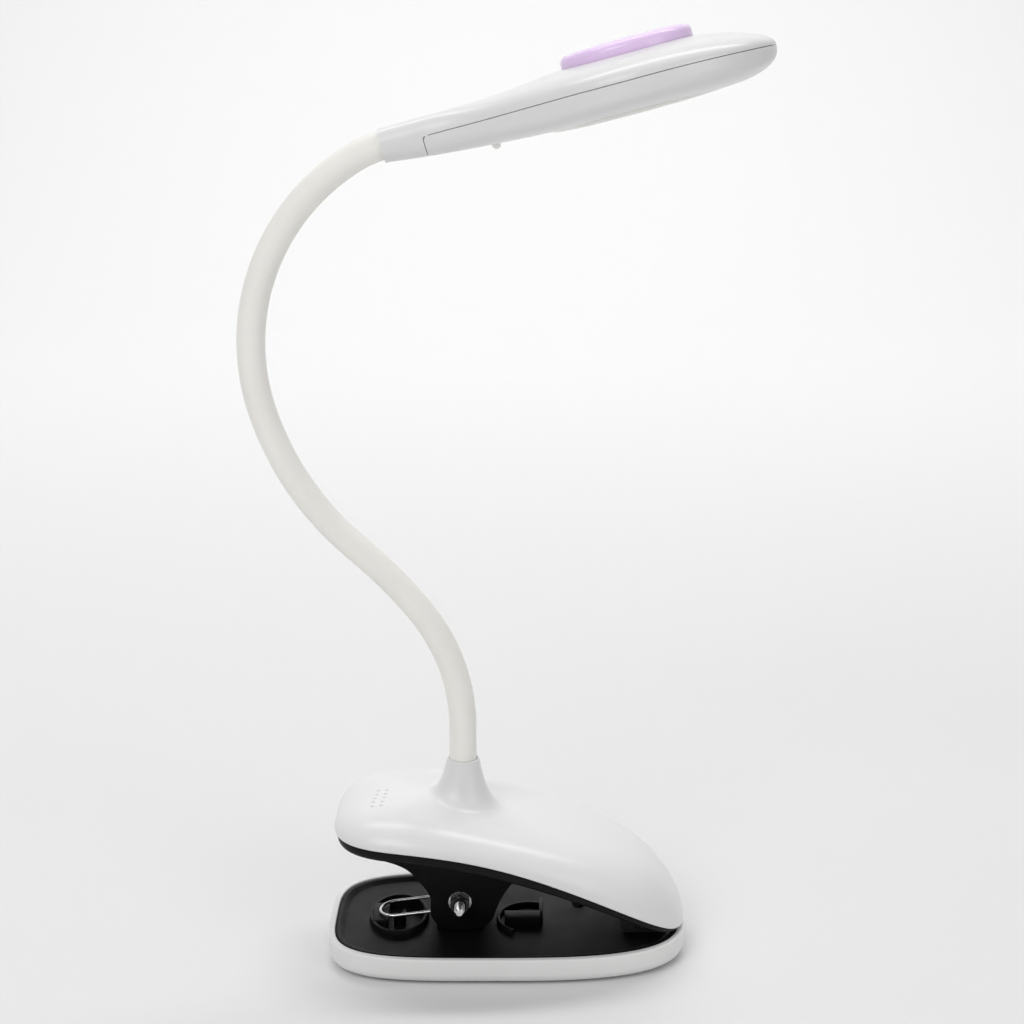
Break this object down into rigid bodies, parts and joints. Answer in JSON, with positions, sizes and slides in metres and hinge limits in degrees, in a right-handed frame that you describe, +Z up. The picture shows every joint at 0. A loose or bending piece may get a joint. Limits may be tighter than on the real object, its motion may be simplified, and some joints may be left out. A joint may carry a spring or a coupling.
{
  "type": "clip-on reading lamp",
  "caption": "Clip-on reading lamp: sprung two-jaw clip with white shell, flexible neck and round LED head with a push button.",
  "frame": {"origin": "centre of the flat rubber face that the lower jaw rests on", "axes": "+Z up, +X towards the tip of the jaws, +Y across the clip; XZ is the plane of symmetry"},
  "size_m": [0.1875, 0.084, 0.341],
  "materials": {
    "gloss_white": "glossy moulded white plastic",
    "tray_white": "satin-gloss moulded white plastic",
    "black_plastic": "semi-gloss moulded black plastic",
    "silicone": "matte ivory silicone",
    "lilac": "semi-gloss lilac plastic",
    "steel": "bright plated steel",
    "black_steel": "black oxide steel",
    "black_rubber": "matte black rubber",
    "diffuser": "translucent milky plastic",
    "reflector_white": "matte white plastic",
    "circuit": "green circuit board",
    "cell": "foil pouch cell"
  },
  "bodies": {
    "lower_jaw": {"lower_tray": "tray_white", "lower_liner": "black_plastic", "base_pad": "black_rubber", "ballast_plate": "steel", "lower_jaw_pad": "black_rubber", "hinge_bolt": "steel", "hinge_nut": "steel", "nut_washer": "steel", "head_washer": "steel", "spring_sleeve": "black_plastic", "torsion_spring": "steel", "liner_screw_1": "black_steel", "liner_screw_2": "black_steel"},
    "upper_jaw": {"upper_shell": "gloss_white", "upper_cover": "black_plastic", "upper_jaw_pad": "black_rubber", "battery": "cell", "charge_board": "circuit", "charge_port": "steel", "neck_ferrule": "steel", "neck_nut": "steel", "neck_base_sleeve": "silicone", "neck_base_core": "steel", "cover_screw_1": "black_steel", "cover_screw_2": "black_steel"},
    "neck_link_1": {"neck_sleeve_1": "silicone", "neck_core_1": "steel"},
    "neck_link_2": {"neck_sleeve_2": "silicone", "neck_core_2": "steel"},
    "neck_link_3": {"neck_sleeve_3": "silicone", "neck_core_3": "steel"},
    "neck_link_4": {"neck_sleeve_4": "silicone", "neck_core_4": "steel"},
    "neck_link_5": {"neck_sleeve_5": "silicone", "neck_core_5": "steel"},
    "neck_link_6": {"neck_sleeve_6": "silicone", "neck_core_6": "steel"},
    "neck_link_7": {"neck_sleeve_7": "silicone", "neck_core_7": "steel"},
    "head": {"neck_top_sleeve": "silicone", "neck_top_core": "steel", "head_top_shell": "gloss_white", "head_bottom_shell": "gloss_white", "diffuser_lens": "diffuser", "reflector": "reflector_white", "led_board": "circuit", "switch_board": "circuit", "tact_switch": "black_plastic", "indicator_led": "diffuser"},
    "button": {"power_button": "lilac"}
  },
  "joints": [
    {"name": "clip_hinge", "type": "hinge", "parent": "lower_jaw", "child": "upper_jaw", "pos_m": [-0.0177, 0, 0.0215], "axis": [0, -1, 0], "range_deg": [0, 30], "stiffness_Nm_per_rad": 1.2, "springref_deg": -40.11, "deforming": ["torsion_spring"]},
    {"name": "neck_pitch_1", "type": "hinge", "parent": "upper_jaw", "child": "neck_link_1", "pos_m": [-0.0165, 0, 0.0827], "axis": [0, 1, 0], "range_deg": [-25, 25]},
    {"name": "neck_sideways_1", "type": "hinge", "parent": "neck_link_1", "child": "neck_link_2", "pos_m": [-0.02321, 0, 0.11804], "axis": [-0.9078, 0, -0.4194], "range_deg": [-25, 25]},
    {"name": "neck_pitch_2", "type": "hinge", "parent": "neck_link_2", "child": "neck_link_3", "pos_m": [-0.04485, 0, 0.14697], "axis": [0, -1, 0], "range_deg": [-25, 25]},
    {"name": "neck_sideways_2", "type": "hinge", "parent": "neck_link_3", "child": "neck_link_4", "pos_m": [-0.07023, 0, 0.17287], "axis": [0.7979, 0, 0.6028], "range_deg": [-25, 25]},
    {"name": "neck_pitch_3", "type": "hinge", "parent": "neck_link_4", "child": "neck_link_5", "pos_m": [-0.08688, 0, 0.20494], "axis": [0, 1, 0], "range_deg": [-25, 25]},
    {"name": "neck_sideways_3", "type": "hinge", "parent": "neck_link_5", "child": "neck_link_6", "pos_m": [-0.08994, 0, 0.2408], "axis": [-0.989, 0, 0.148], "range_deg": [-25, 25]},
    {"name": "neck_pitch_4", "type": "hinge", "parent": "neck_link_6", "child": "neck_link_7", "pos_m": [-0.07651, 0, 0.27418], "axis": [0, -1, 0], "range_deg": [-25, 25]},
    {"name": "neck_sideways_4", "type": "hinge", "parent": "neck_link_7", "child": "head", "pos_m": [-0.04944, 0, 0.29788], "axis": [0.4385, 0, -0.8987], "range_deg": [-25, 25]},
    {"name": "power_press", "type": "slide", "parent": "head", "child": "button", "axis": [0.2588, 0, -0.9659], "range_m": [0, 0.001], "stiffness_N_per_m": 1500, "springref_m": -0.001}
  ]
}
